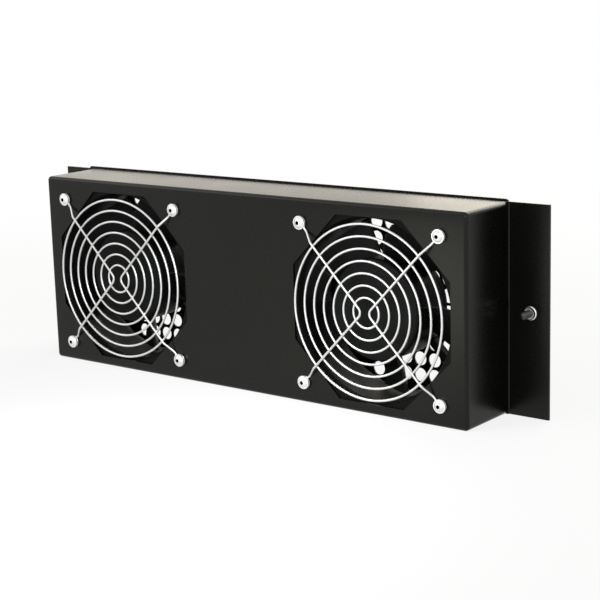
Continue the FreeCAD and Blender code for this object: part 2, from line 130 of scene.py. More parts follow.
@dataclass(frozen=True)
class PanelFrame:
    """Turns millimetres counted from the front face into the shared frame.

    Attributes:
        middle_y: Depth of the overall box's middle behind the front face.
        fan_x: Distance of a fan's axis from the middle.
        fan_z: Height of the fans' axes.
        bolt_square: Side of a fan's square of screws.
    """

    middle_y: float = 23.525
    fan_x: float = 107.0
    fan_z: float = 66.5
    bolt_square: float = 105.0

    def point(self, x: float, y: float, z: float) -> Vector:
        """Places a point in the shared frame.

        Args:
            x: Distance from the middle in millimetres.
            y: Depth behind the front face.
            z: Height.

        Returns:
            The point in metres.
        """
        return Vector((x, y - self.middle_y, z)) * MM

    def fan_point(self, side: Side, x: float, y: float, z: float) -> Vector:
        """Places a point that is counted from a fan's axis.

        Args:
            side: The fan.
            x: Distance from the axis in millimetres.
            y: Depth behind the front face.
            z: Height above the axis.

        Returns:
            The point in metres.
        """
        return self.point(side.value * self.fan_x + x, y, self.fan_z + z)


PANEL = PanelFrame()


# Finishes

CLOUD_SCALE = 28.0
CLOUD_DETAIL = 3.0
CLOUD_SHARE = 0.55
FINE_SHARE = 0.45
MOTTLE_LOW = 0.3
MOTTLE_HIGH = 0.7
NOISE_DETAIL = {Grain.PEEL: 1.5, Grain.CAST: 6.0, Grain.PLATED: 3.0}
NOISE_ROUGHNESS = 0.5
WAVE_DISTORTION = 0.6

# Places of the colours among a mix node's sockets
MIX_FIRST = 6
MIX_SECOND = 7
MIX_RESULT = 2


def math_node(
    tree: bpy.types.NodeTree, operation: str, *values: bpy.types.NodeSocket | float,
) -> bpy.types.NodeSocket:
    """Adds a math node.

    Args:
        tree: The node tree to add to.
        operation: The operation's name in Blender.
        *values: A socket or a number for each input.

    Returns:
        The socket that gives the result.
    """
    node = tree.nodes.new("ShaderNodeMath")
    node.operation = operation
    for socket, value in zip(node.inputs, values):
        if isinstance(value, bpy.types.NodeSocket):
            tree.links.new(value, socket)
        else:
            socket.default_value = value
    return node.outputs[0]


def grain_sockets(group: bpy.types.NodeTree) -> None:
    """Gives a pattern's node group its inputs and outputs.

    Args:
        group: The node group.
    """
    face = group.interface
    for label in ("Scale", "Rough Low", "Rough High"):
        face.new_socket(name=label, in_out="INPUT", socket_type="NodeSocketFloat")
    for label in ("Tone A", "Tone B"):
        face.new_socket(name=label, in_out="INPUT", socket_type="NodeSocketColor")
    face.new_socket(name="Color", in_out="OUTPUT", socket_type="NodeSocketColor")
    for label in ("Roughness", "Height"):
        face.new_socket(name=label, in_out="OUTPUT", socket_type="NodeSocketFloat")


def grain_group(kind: Grain) -> bpy.types.NodeTree:
    """Makes the node group of a pattern, or returns it if it exists.

    Args:
        kind: The pattern.

    Returns:
        A group with a varying colour, roughness and height.
    """
    name = "grain_" + kind.value
    if name in bpy.data.node_groups:
        return bpy.data.node_groups[name]
    group = bpy.data.node_groups.new(name, "ShaderNodeTree")
    grain_sockets(group)
    add = group.nodes.new
    link = group.links.new
    source = add("NodeGroupInput")
    result = add("NodeGroupOutput")
    place = add("ShaderNodeTexCoord")
    fine = pattern_node(group, kind)
    link(place.outputs["Object"], fine.inputs["Vector"])
    link(source.outputs["Scale"], fine.inputs["Scale"])
    cloud = add("ShaderNodeTexNoise")
    cloud.inputs["Scale"].default_value = CLOUD_SCALE
    cloud.inputs["Detail"].default_value = CLOUD_DETAIL
    link(place.outputs["Object"], cloud.inputs["Vector"])
    clouds = math_node(group, "MULTIPLY", cloud.outputs["Fac"], CLOUD_SHARE)
    mottle = math_node(group, "MULTIPLY_ADD", fine.outputs["Fac"], FINE_SHARE, clouds)
    spread = add("ShaderNodeMapRange")
    spread.inputs["From Min"].default_value = MOTTLE_LOW
    spread.inputs["From Max"].default_value = MOTTLE_HIGH
    link(mottle, spread.inputs["Value"])
    link(source.outputs["Rough Low"], spread.inputs["To Min"])
    link(source.outputs["Rough High"], spread.inputs["To Max"])
    tone = add("ShaderNodeMix")
    tone.data_type = "RGBA"
    link(mottle, tone.inputs["Factor"])
    link(source.outputs["Tone A"], tone.inputs[MIX_FIRST])
    link(source.outputs["Tone B"], tone.inputs[MIX_SECOND])
    link(tone.outputs[MIX_RESULT], result.inputs["Color"])
    link(spread.outputs[0], result.inputs["Roughness"])
    link(fine.outputs["Fac"], result.inputs["Height"])
    return group


def pattern_node(group: bpy.types.NodeTree, kind: Grain) -> bpy.types.Node:
    """Adds the texture that gives a pattern its fine grain.

    Args:
        group: The node group to add to.
        kind: The pattern.

    Returns:
        The texture node.
    """
    if kind in (Grain.LAMINATED, Grain.WOUND):
        wave = group.nodes.new("ShaderNodeTexWave")
        wave.wave_type = "BANDS" if kind is Grain.LAMINATED else "RINGS"
        if kind is Grain.LAMINATED:
            wave.bands_direction = "Y"
        else:
            wave.rings_direction = "Y"
        wave.inputs["Distortion"].default_value = WAVE_DISTORTION
        return wave
    noise = group.nodes.new("ShaderNodeTexNoise")
    noise.inputs["Detail"].default_value = NOISE_DETAIL[kind]
    noise.inputs["Roughness"].default_value = NOISE_ROUGHNESS
    return noise


@dataclass(frozen=True)
class Finish:
    """One surface finish.

    Attributes:
        slot: Name of the finish, which is also the record's material slot.
        tone_a: Darker colour of its mottle.
        tone_b: Lighter colour of its mottle.
        rough_low: Lowest roughness.
        rough_high: Highest roughness.
        grain: Pattern of the surface.
        scale: Scale of the pattern, per metre.
        relief: Depth of the pattern in metres.
        metallic: 1 for bare metal, else 0.
        specular: Strength of the mirror image on a non-metal.
        coat: Strength of a clear top layer.
        tint: Colour of the mirror image on a non-metal.
        variant: Name of a second look in the same slot, here a darker one that paints shade.
    """

    slot: str
    tone_a: Triple
    tone_b: Triple
    rough_low: float
    rough_high: float
    grain: Grain
    scale: float
    relief: float
    metallic: float = 0.0
    specular: float = 0.5
    coat: float = 0.0
    tint: Triple = (1.0, 1.0, 1.0)
    variant: str = ""

    def material(self) -> bpy.types.Material:
        """Makes the finish's material, or returns it if it exists.

        Returns:
            The material.
        """
        name = self.slot + self.variant + "_finish"
        if name in bpy.data.materials:
            return bpy.data.materials[name]
        made = bpy.data.materials.new(name)
        made.use_nodes = True
        tree = made.node_tree
        shader = tree.nodes["Principled BSDF"]
        shader.inputs["Metallic"].default_value = self.metallic
        shader.inputs["Specular IOR Level"].default_value = self.specular
        shader.inputs["Specular Tint"].default_value = (*self.tint, 1.0)
        shader.inputs["Coat Weight"].default_value = self.coat
        shader.inputs["Coat Roughness"].default_value = self.rough_low
        grain = tree.nodes.new("ShaderNodeGroup")
        grain.node_tree = grain_group(self.grain)
        grain.inputs["Scale"].default_value = self.scale
        grain.inputs["Rough Low"].default_value = self.rough_low
        grain.inputs["Rough High"].default_value = self.rough_high
        grain.inputs["Tone A"].default_value = (*self.tone_a, 1.0)
        grain.inputs["Tone B"].default_value = (*self.tone_b, 1.0)
        bump = tree.nodes.new("ShaderNodeBump")
        bump.inputs["Distance"].default_value = self.relief
        tree.links.new(grain.outputs["Color"], shader.inputs["Base Color"])
        tree.links.new(grain.outputs["Roughness"], shader.inputs["Roughness"])
        tree.links.new(grain.outputs["Height"], bump.inputs["Height"])
        tree.links.new(bump.outputs["Normal"], shader.inputs["Normal"])
        return made


HOUSING_COAT = Finish(
    "housing_coat", (0.0014, 0.0014, 0.0012), (0.0022, 0.0022, 0.0019), 0.24, 0.3,
    Grain.PEEL, 900.0, 0.00001, specular=0.24, tint=(1.0, 1.0, 0.9),
)
FAN_COAT = Finish(
    "fan_coat", (0.0032, 0.0036, 0.0033), (0.0052, 0.0058, 0.0053), 0.42, 0.54,
    Grain.CAST, 700.0, 0.00005, specular=0.055,
)
FAN_PLASTIC = Finish(
    "fan_plastic", (0.004, 0.0046, 0.0041), (0.0065, 0.0075, 0.0066), 0.34, 0.46,
    Grain.CAST, 900.0, 0.00002, specular=0.07,
)
GUARD_PLATING = Finish(
    "guard_plating", (0.63, 0.64, 0.625), (0.72, 0.725, 0.71), 0.34, 0.44,
    Grain.PLATED, 500.0, 0.00002, metallic=1.0,
)
ZINC_STEEL = Finish(
    "zinc_steel", (0.76, 0.77, 0.76), (0.86, 0.86, 0.85), 0.34, 0.46,
    Grain.PLATED, 800.0, 0.00002, metallic=1.0,
)
# Near-black steel for the screws' sockets: painted shade in the recesses.
PAINTED_SOCKET_SHADE = Finish(
    "zinc_steel", (0.012, 0.012, 0.012), (0.02, 0.02, 0.02), 0.6, 0.8,
    Grain.PLATED, 800.0, 0.00002, metallic=1.0, variant="_socket",
)
# Steel painted far darker than the zinc: painted shade and painted dark reflection on the threads, the
# keeper rings' rims and the washers' fronts.
PAINTED_SHADE_STEEL = Finish(
    "zinc_steel", (0.03, 0.03, 0.029), (0.09, 0.09, 0.087), 0.3, 0.42,
    Grain.PLATED, 1200.0, 0.00003, metallic=1.0, variant="_thread",
)
MOTOR_STEEL = Finish(
    "motor_steel", (0.36, 0.36, 0.37), (0.52, 0.52, 0.52), 0.3, 0.5,
    Grain.LAMINATED, 1300.0, 0.00003, metallic=1.0,
)
COPPER = Finish(
    "copper", (0.48, 0.2, 0.09), (0.72, 0.36, 0.2), 0.24, 0.4,
    Grain.WOUND, 1400.0, 0.0002, metallic=1.0, coat=0.4,
)
BRONZE = Finish(
    "bronze", (0.5, 0.34, 0.15), (0.64, 0.46, 0.22), 0.35, 0.55,
    Grain.CAST, 1500.0, 0.00003, metallic=1.0,
)
RUBBER = Finish(
    "rubber", (0.016, 0.016, 0.016), (0.026, 0.026, 0.026), 0.55, 0.75,
    Grain.CAST, 1200.0, 0.00003, specular=0.35,
)
BLOCK_PLASTIC = Finish(
    "block_plastic", (0.76, 0.73, 0.66), (0.86, 0.84, 0.78), 0.4, 0.55,
    Grain.CAST, 900.0, 0.00002,
)
LEAD_SLEEVE = Finish(
    "lead_sleeve", (0.02, 0.02, 0.02), (0.035, 0.035, 0.035), 0.3, 0.45,
    Grain.PLATED, 600.0, 0.00002,
)
FINISHES = (
    HOUSING_COAT, FAN_COAT, FAN_PLASTIC, GUARD_PLATING, ZINC_STEEL, MOTOR_STEEL,
    COPPER, BRONZE, RUBBER, BLOCK_PLASTIC, LEAD_SLEEVE,
)


# Meshes


def linked(name: str, data: bpy.types.ID) -> bpy.types.Object:
    """Adds an object to the scene.

    Args:
        name: Name of the object.
        data: Its mesh, lamp or camera.

    Returns:
        The object.
    """
    obj = bpy.data.objects.new(name, data)
    bpy.context.scene.collection.objects.link(obj)
    return obj


def finish_object(obj: bpy.types.Object, finish: Finish, body: str, names: Sequence[str] = ()) -> None:
    """Gives a piece its finish, its body and the nodes that it stands for.

    Args:
        obj: The piece.
        finish: Its finish.
        body: The body that it moves with.
        names: The CAD nodes that it replaces.
    """
    obj.data.materials.clear()
    obj.data.materials.append(finish.material())
    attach(obj, body)
    if names:
        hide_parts(*names)
    LOG.info("%s rides on %s in %s", obj.name, body, finish.slot)


def mesh_object(
    name: str, verts: Points, faces: Sequence[Sequence[int]], angle: float = ALL_SMOOTH,
) -> bpy.types.Object:
    """Makes a smooth-shaded mesh object.

    Args:
        name: Name of the object.
        verts: Corners in the shared frame, in metres.
        faces: Corner numbers of each face.
        angle: Edges sharper than this many degrees stay sharp.

    Returns:
        The object.
    """
    mesh = bpy.data.meshes.new(name)
    mesh.from_pydata([tuple(v) for v in verts], [], [tuple(f) for f in faces])
    mesh.validate()
    smooth(mesh, angle)
    return linked(name, mesh)


def smooth(mesh: bpy.types.Mesh, angle: float) -> None:
    """Shades a mesh smooth, apart from its sharp edges.

    Args:
        mesh: The mesh.
        angle: Edges sharper than this many degrees stay sharp.
    """
    mesh.polygons.foreach_set("use_smooth", [True] * len(mesh.polygons))
    if angle < ALL_SMOOTH:
        mesh.set_sharp_from_angle(angle=math.radians(angle))
    mesh.update()


def cad_copy(frame: Frame, node: str, name: str, dissolve: float = 0.2) -> bpy.types.Object:
    """Copies a CAD node's mesh into a new object with clean flat faces.

    Args:
        frame: The loaded frame.
        node: The CAD node.
        name: Name of the copy.
        dissolve: Faces within this many degrees are joined.

    Returns:
        The copy, not yet riding on a body.
    """
    mesh = frame["nodes"][node].data.copy()
    mesh.name = name
    work = bmesh.new()
    work.from_mesh(mesh)
    bmesh.ops.remove_doubles(work, verts=work.verts, dist=SAME_POINT)
    if dissolve:
        bmesh.ops.dissolve_limit(
            work, angle_limit=math.radians(dissolve), verts=work.verts, edges=work.edges,
        )
    bmesh.ops.recalc_face_normals(work, faces=work.faces)
    work.to_mesh(mesh)
    work.free()
    if "custom_normal" in mesh.attributes:
        mesh.attributes.remove(mesh.attributes["custom_normal"])
    return linked(name, mesh)


def soften(obj: bpy.types.Object, width: float, angle: float = 38.0) -> None:
    """Rounds an object's sharp edges a little, so that they catch light.

    Args:
        obj: The object.
        width: Width of the rounding in millimetres.
        angle: Edges sharper than this many degrees are rounded.
    """
    smooth(obj.data, angle)
    bevel = obj.modifiers.new("edge", "BEVEL")
    bevel.width = width * MM
    bevel.segments = EDGE_SEGMENTS
    bevel.limit_method = "ANGLE"
    bevel.angle_limit = math.radians(angle)
    bevel.use_clamp_overlap = True
    bevel.harden_normals = True


def around(steps: int) -> list[tuple[float, float]]:
    """Goes round a circle in equal steps.

    Args:
        steps: Number of steps.

    Returns:
        Cosine and sine of each step's angle.
    """
    turns = [2 * math.pi * k / steps for k in range(steps)]
    return [(math.cos(turn), math.sin(turn)) for turn in turns]


def tube_faces(rows: int, sides: int, closed: bool = False) -> Faces:
    """Joins rows of corners into a tube.

    Args:
        rows: Number of rows.
        sides: Corners of each row.
        closed: True if the last row joins the first, else both ends get a cap.

    Returns:
        The corner numbers of each face.
    """
    faces: Faces = []
    for i in range(rows if closed else rows - 1):
        j = (i + 1) % rows
        for k in range(sides):
            m = (k + 1) % sides
            faces.append([i * sides + k, i * sides + m, j * sides + m, j * sides + k])
    if not closed:
        faces.append(list(range(sides))[::-1])
        faces.append([(rows - 1) * sides + k for k in range(sides)])
    return faces


def sweep(path: Points, radius: float, sides: int, closed: bool) -> MeshData:
    """Lays a round wire along a path.

    Args:
        path: The wire's middle line in metres.
        radius: The wire's radius in metres.
        sides: Corners round the wire.
        closed: True if the path ends where it starts.

    Returns:
        The mesh's corners and faces.
    """
    count = len(path)
    verts: Points = []
    across = None
    for i, here in enumerate(path):
        before = path[i - 1] if i or closed else here
        after = path[(i + 1) % count] if i < count - 1 or closed else here
        along = (after - before).normalized()
        if across is None:
            across = along.orthogonal().normalized()
        across = (across - along * across.dot(along)).normalized()
        other = along.cross(across)
        verts += [here + (across * cos + other * sin) * radius for cos, sin in around(sides)]
    return verts, tube_faces(count, sides, closed)


def gathered(parts: Iterable[MeshData]) -> MeshData:
    """Puts several meshes' corners and faces into one list.

    Args:
        parts: The meshes.

    Returns:
        All corners and faces.
    """
    verts: Points = []
    faces: Faces = []
    for some_verts, some_faces in parts:
        start = len(verts)
        verts += some_verts
        faces += [[start + i for i in face] for face in some_faces]
    return verts, faces


def turned(profile: Sequence[tuple[float, float]], steps: int, centre: Vector) -> MeshData:
    """Turns a profile round an axis along Y.

    Args:
        profile: Pairs of radius and depth in millimetres, from end to end.
        steps: Corners round the axis.
        centre: Point on the axis at depth 0, in metres.

    Returns:
        The mesh's corners and faces.
    """
    verts: Points = []
    for radius, depth in profile:
        verts += [centre + Vector((radius * cos, depth, radius * sin)) * MM for cos, sin in around(steps)]
    return verts, tube_faces(len(profile), steps)


def rounded_path(corners: Points, radius: float, steps: int = 6) -> Points:
    """Rounds the inner corners of a path.

    Args:
        corners: The path's corners.
        radius: Radius of the bends.
        steps: Pieces of each bend.

    Returns:
        The path's points.
    """
    points = [corners[0]]
    for before, corner, after in zip(corners[:-2], corners[1:-1], corners[2:]):
        back = (before - corner).normalized()
        ahead = (after - corner).normalized()
        half = back.angle(ahead) / 2
        reach = radius / math.tan(half)
        middle = (back + ahead).normalized()
        centre = corner + middle * (radius / math.sin(half))
        first = corner + back * reach - centre
        last = corner + ahead * reach - centre
        span = first.angle(last)
        for k in range(steps + 1):
            share = k / steps
            mix = first * math.sin((1 - share) * span) + last * math.sin(share * span)
            points.append(centre + mix / math.sin(span))
    points.append(corners[-1])
    return points


# Pieces


@dataclass
class Sheetwork:
    """The bent housing and the perforated plate behind it.

    Attributes:
        housing_edge: Rounding of the housing's cut edges in millimetres.
        plate_edge: Rounding of the plate's edges in millimetres.
    """

    housing_edge: float = 0.3
    plate_edge: float = 0.14

    def dress(self, frame: Frame) -> None:
        """Replaces both sheets by coated ones with softened edges.

        Args:
            frame: The loaded frame.
        """
        shell = cad_copy(frame, "housing", "housing_shell")
        soften(shell, self.housing_edge)
        finish_object(shell, HOUSING_COAT, "unit", ["housing"])
        plate = cad_copy(frame, "rear_plate", "perforated_plate")
        soften(plate, self.plate_edge)
        finish_object(plate, HOUSING_COAT, "unit", ["rear_plate"])


@dataclass
class Guard:
    """One welded wire guard.

    Attributes:
        side: The fan that it covers.
        ring_count: Number of rings.
        ring_first: Mean radius of the smallest ring in millimetres.
        ring_last: Mean radius of the largest ring.
        ring_wire: Diameter of the ring wire.
        spoke_wire: Diameter of the spoke wire.
        ring_y: Depth of the rings' middle.
        spoke_y: Depth of the spokes' middle.
        seat_y: Depth of the eyelets' middle.
        apex_offset: Distance of each bend's corner from the middle.
        apex_round: Radius of the bend.
        eyelet_r: Mean radius of an eyelet.
        eyelet_turn: Angle of an eyelet's own bend in degrees.
        eyelet_join: Angle from the leg at which that bend ends.
        eyelet_steps: Pieces of that bend.
        join_reach: Reach of the curve from the bend to the leg, at each end.
        join_steps: Pieces of that curve.
        leg_start: Distance from an eyelet's middle at which its leg starts.
        leg_flat: Distance from an eyelet's middle at which a leg starts to rise.
        leg_rise: Distance at which it has risen.
        leg_round: Radius of a leg's bends.
        weld_r: Radius of a weld.
        weld_flat: Height of a weld as a share of its radius.
        weld_rows: Pieces of a weld's half circle.
        weld_sides: Corners round a weld.
        ring_steps: Corners along a ring.
        bend_steps: Pieces of the bend between two legs.
        wire_sides: Corners round a wire.
        sharp: Edges sharper than this many degrees stay sharp.
    """

    side: Side
    ring_count: int = 7
    ring_first: float = 9.7
    ring_last: float = 56.0
    ring_wire: float = 1.6
    spoke_wire: float = 1.6
    ring_y: float = -3.45
    spoke_y: float = -4.95
    seat_y: float = -0.8
    apex_offset: float = 2.0
    apex_round: float = 4.0
    eyelet_r: float = 3.6
    eyelet_turn: float = 322.0
    eyelet_join: float = 48.0
    eyelet_steps: int = 40
    join_reach: float = 1.6
    join_steps: int = 8
    leg_start: float = 5.4
    leg_flat: float = 7.5
    leg_rise: float = 16.0
    leg_round: float = 5.0
    weld_r: float = 1.2
    weld_flat: float = 0.75
    weld_rows: int = 6
    weld_sides: int = 10
    ring_steps: int = 128
    bend_steps: int = 10
    wire_sides: int = 12
    sharp: float = 60.0

    def build(self) -> None:
        """Makes the guard as one plated piece."""
        parts = [self.ring(radius) for radius in self.ring_radii()]
        parts += [self.spoke(sx) for sx in (-1, 1)]
        parts += [self.weld(spot) for spot in self.crossings()]
        verts, faces = gathered(parts)
        obj = mesh_object("wire_guard_" + self.side.label, verts, faces, self.sharp)
        names = ["guard_rings_" + self.side.label, "guard_spokes_" + self.side.label]
        finish_object(obj, GUARD_PLATING, "unit", names)

    def ring_radii(self) -> list[float]:
        """Spaces the rings evenly.

        Returns:
            Their mean radii in millimetres.
        """
        step = (self.ring_last - self.ring_first) / (self.ring_count - 1)
        return [self.ring_first + step * i for i in range(self.ring_count)]

    def ring(self, radius: float) -> MeshData:
        """Makes one ring.

        Args:
            radius: Its mean radius in millimetres.

        Returns:
            The mesh's corners and faces.
        """
        path = []
        for cos, sin in around(self.ring_steps):
            path.append(PANEL.fan_point(self.side, radius * cos, self.ring_y, radius * sin))
        return sweep(path, self.ring_wire / 2 * MM, self.wire_sides, True)

    def eye(self, sx: int, sz: int) -> Vector:
        """Finds the middle of an eyelet.

        Args:
            sx: Side of the fan.
            sz: 1 above the axis, -1 below it.

        Returns:
            The point in fan millimetres.
        """
        half = PANEL.bolt_square / 2
        return Vector((sx * half, self.seat_y, sz * half))

    def leg(self, sx: int, sz: int) -> Points:
        """Lays out the line from an eyelet's rim to the spoke's bend.

        Args:
            sx: Side of the fan.
            sz: 1 above the axis, -1 below it.

        Returns:
            Corners in fan millimetres, from the eyelet on.
        """
        eye = self.eye(sx, sz)
        apex = Vector((sx * self.apex_offset, self.seat_y, 0.0))
        inward = (apex - eye).normalized()
        rise = Vector((0.0, self.spoke_y - self.seat_y, 0.0))
        flat = [eye + inward * self.leg_start, eye + inward * self.leg_flat]
        return flat + [eye + inward * self.leg_rise + rise]

    def loop(self, sx: int, sz: int) -> Points:
        """Lays out an eyelet's own bend, from its free end to the leg.

        Args:
            sx: Side of the fan.
            sz: 1 above the axis, -1 below it.

        Returns:
            Points in fan millimetres.
        """
        eye = self.eye(sx, sz)
        end = self.leg(sx, sz)[0]
        inward = end - eye
        joined = math.atan2(inward.z, inward.x) + math.radians(self.eyelet_join)
        points = []
        for k in range(self.eyelet_steps + 1):
            turn = joined + math.radians(self.eyelet_turn) * (1 - k / self.eyelet_steps)
            points.append(eye + Vector((math.cos(turn), 0.0, math.sin(turn))) * self.eyelet_r)
        last = points[-1]
        tangent = Vector((math.sin(joined), 0.0, -math.cos(joined)))
        leave = last + tangent * self.join_reach
        arrive = end - inward.normalized() * self.join_reach
        return points + interpolate_bezier(last, leave, arrive, end, self.join_steps + 1)[1:-1]

    def spoke(self, sx: int) -> MeshData:
        """Makes one V-shaped spoke with its two eyelets.

        Args:
            sx: Side of the fan.

        Returns:
            The mesh's corners and faces.
        """
        apex = Vector((sx * self.apex_offset, self.spoke_y, 0.0))
        upper = self.leg(sx, 1)
        lower = self.leg(sx, -1)
        up = rounded_path(upper + [apex], self.leg_round)[:-1]
        down = rounded_path(lower + [apex], self.leg_round)[:-1]
        bend = rounded_path([upper[-1], apex, lower[-1]], self.apex_round, self.bend_steps)[1:-1]
        path = self.loop(sx, 1) + up + bend + down[::-1] + self.loop(sx, -1)[::-1]
        placed = [PANEL.fan_point(self.side, *p) for p in path]
        return sweep(placed, self.spoke_wire / 2 * MM, self.wire_sides, False)

    def crossings(self) -> Points:
        """Finds where the spokes cross the rings.

        Returns:
            Points on the spokes' middle lines, in fan millimetres.
        """
        spots = []
        for sx in (-1, 1):
            for sz in (-1, 1):
                start = self.leg(sx, sz)[-1]
                apex = Vector((sx * self.apex_offset, self.spoke_y, 0.0))
                flat = start - apex
                for radius in self.ring_radii():
                    a = flat.length_squared
                    b = 2 * apex.x * flat.x
                    c = apex.x**2 - radius**2
                    share = (-b + math.sqrt(b * b - 4 * a * c)) / (2 * a)
                    if share < 1.0:
                        spots.append(apex + flat * share)
        return spots

    def weld(self, spot: Vector) -> MeshData:
        """Makes a flattened bead between a ring and a spoke.

        Args:
            spot: Where the spoke's middle crosses the ring, in fan millimetres.

        Returns:
            The mesh's corners and faces.
        """
        middle = (self.ring_y + self.spoke_y) / 2
        centre = PANEL.fan_point(self.side, spot.x, middle, spot.z)
        profile = []
        for k in range(1, self.weld_rows):
            turn = math.pi * k / self.weld_rows
            profile.append((self.weld_r * math.sin(turn), -self.weld_flat * self.weld_r * math.cos(turn)))
        return turned(profile, self.weld_sides, centre)


@dataclass
class GuardScrews:
    """The screws that hold the guards and fans.

    Attributes:
        head_front: Depth of the heads' crowns.
        socket_r: Radius within which a socket lies.
        socket_from: Depth below the crown at which all faces are the socket's.
        socket_to: Depth below the crown at which there is no socket.
        wall_limit: Faces that face less than this along Y are walls.
    """

    head_front: float = -3.9
    socket_r: float = 1.5
    socket_from: float = 0.9
    socket_to: float = 3.0
    wall_limit: float = 0.2

    def dress(self, frame: Frame) -> None:
        """Replaces the screws by smooth ones whose sockets are painted near-black as shade.

        Args:
            frame: The loaded frame.
        """
        screws = cad_copy(frame, "guard_screws", "guard_screw_set", 0.0)
        smooth(screws.data, SCREW_ANGLE)
        finish_object(screws, ZINC_STEEL, "unit", ["guard_screws"])
        # Socket walls and floors take the near-black steel: painted shade in the recess.
        screws.data.materials.append(PAINTED_SOCKET_SHADE.material())
        for face in screws.data.polygons:
            if self.in_socket(face.center / MM, face.normal):
                face.material_index = 1

    def in_socket(self, centre: Vector, normal: Vector) -> bool:
        """Tells whether a face belongs to a screw's socket.

        Args:
            centre: The face's middle in millimetres.
            normal: The face's direction.

        Returns:
            True for a wall or the floor of a socket.
        """
        half = PANEL.bolt_square / 2
        x = abs(abs(centre.x) - PANEL.fan_x) - half
        z = abs(centre.z - PANEL.fan_z) - half
        sunk = centre.y + PANEL.middle_y - self.head_front
        if math.hypot(x, z) > self.socket_r or sunk > self.socket_to:
            return False
        return sunk > self.socket_from or abs(normal.y) < self.wall_limit


@dataclass
class Fan:
    """One fan's cast frame and moulded wheel.

    Attributes:
        side: The fan's side.
        frame_edge: Rounding of the frame's edges in millimetres.
        wheel_sharp: Edges of the wheel sharper than this many degrees stay sharp.
    """

    side: Side
    frame_edge: float = 0.35
    wheel_sharp: float = 32.0

    def dress(self, frame: Frame) -> None:
        """Replaces the frame by a softened one and smooths the wheel.

        Args:
            frame: The loaded frame.
        """
        label = self.side.label
        casting = cad_copy(frame, "fan_frame_" + label, "fan_casting_" + label)
        soften(casting, self.frame_edge)
        finish_object(casting, FAN_COAT, "unit", ["fan_frame_" + label])
        wheel = cad_copy(frame, "impeller_" + label, "fan_wheel_" + label, 0.0)
        smooth(wheel.data, self.wheel_sharp)
        finish_object(wheel, FAN_PLASTIC, "wheel_" + label, ["impeller_" + label])


